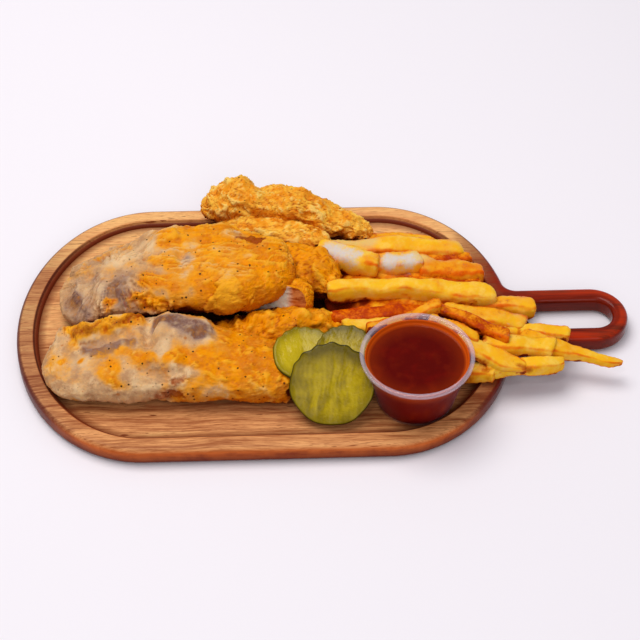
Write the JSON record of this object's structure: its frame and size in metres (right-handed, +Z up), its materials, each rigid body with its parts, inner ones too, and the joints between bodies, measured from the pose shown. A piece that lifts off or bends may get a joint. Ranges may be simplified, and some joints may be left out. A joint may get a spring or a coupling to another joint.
{
  "type": "plate of chicken fingers and fries",
  "caption": "Chicken fingers and thick fries on a slotted-handle oval wooden board, with pickle slices and a small clear cup of red dip.",
  "frame": {"origin": "on the underside of the board, at the centre of its oval body", "axes": "+X along the board towards the handle, +Y towards the back, +Z up"},
  "size_m": [0.3394, 0.1876, 0.0438],
  "materials": {
    "wood": "oiled and lacquered hardwood, glued staves, satin to gloss",
    "clear_plastic": "thin clear polypropylene, glossy",
    "red_dip": "thick dark red barbecue sauce, wet gloss",
    "pickle": "wet yellow-green flesh with a dark green rind",
    "pale_crust": "soft battered crust, pale beige to golden, peppered",
    "craggy_crust": "dry craggy crust, light gold with brown creases",
    "orange_crust": "fibrous orange-brown crust",
    "fried_potato": "golden fried potato with browner edges"
  },
  "bodies": {
    "root": {"board": "wood", "cup": "clear_plastic", "dip": "red_dip", "pickle_front": "pickle", "pickle_left": "pickle", "pickle_right": "pickle", "finger_low_left": "pale_crust", "finger_top_left": "pale_crust", "finger_back": "craggy_crust", "finger_behind": "craggy_crust", "finger_middle": "orange_crust", "finger_front": "orange_crust", "finger_cut": "orange_crust", "fries": "fried_potato"}
  },
  "joints": []
}
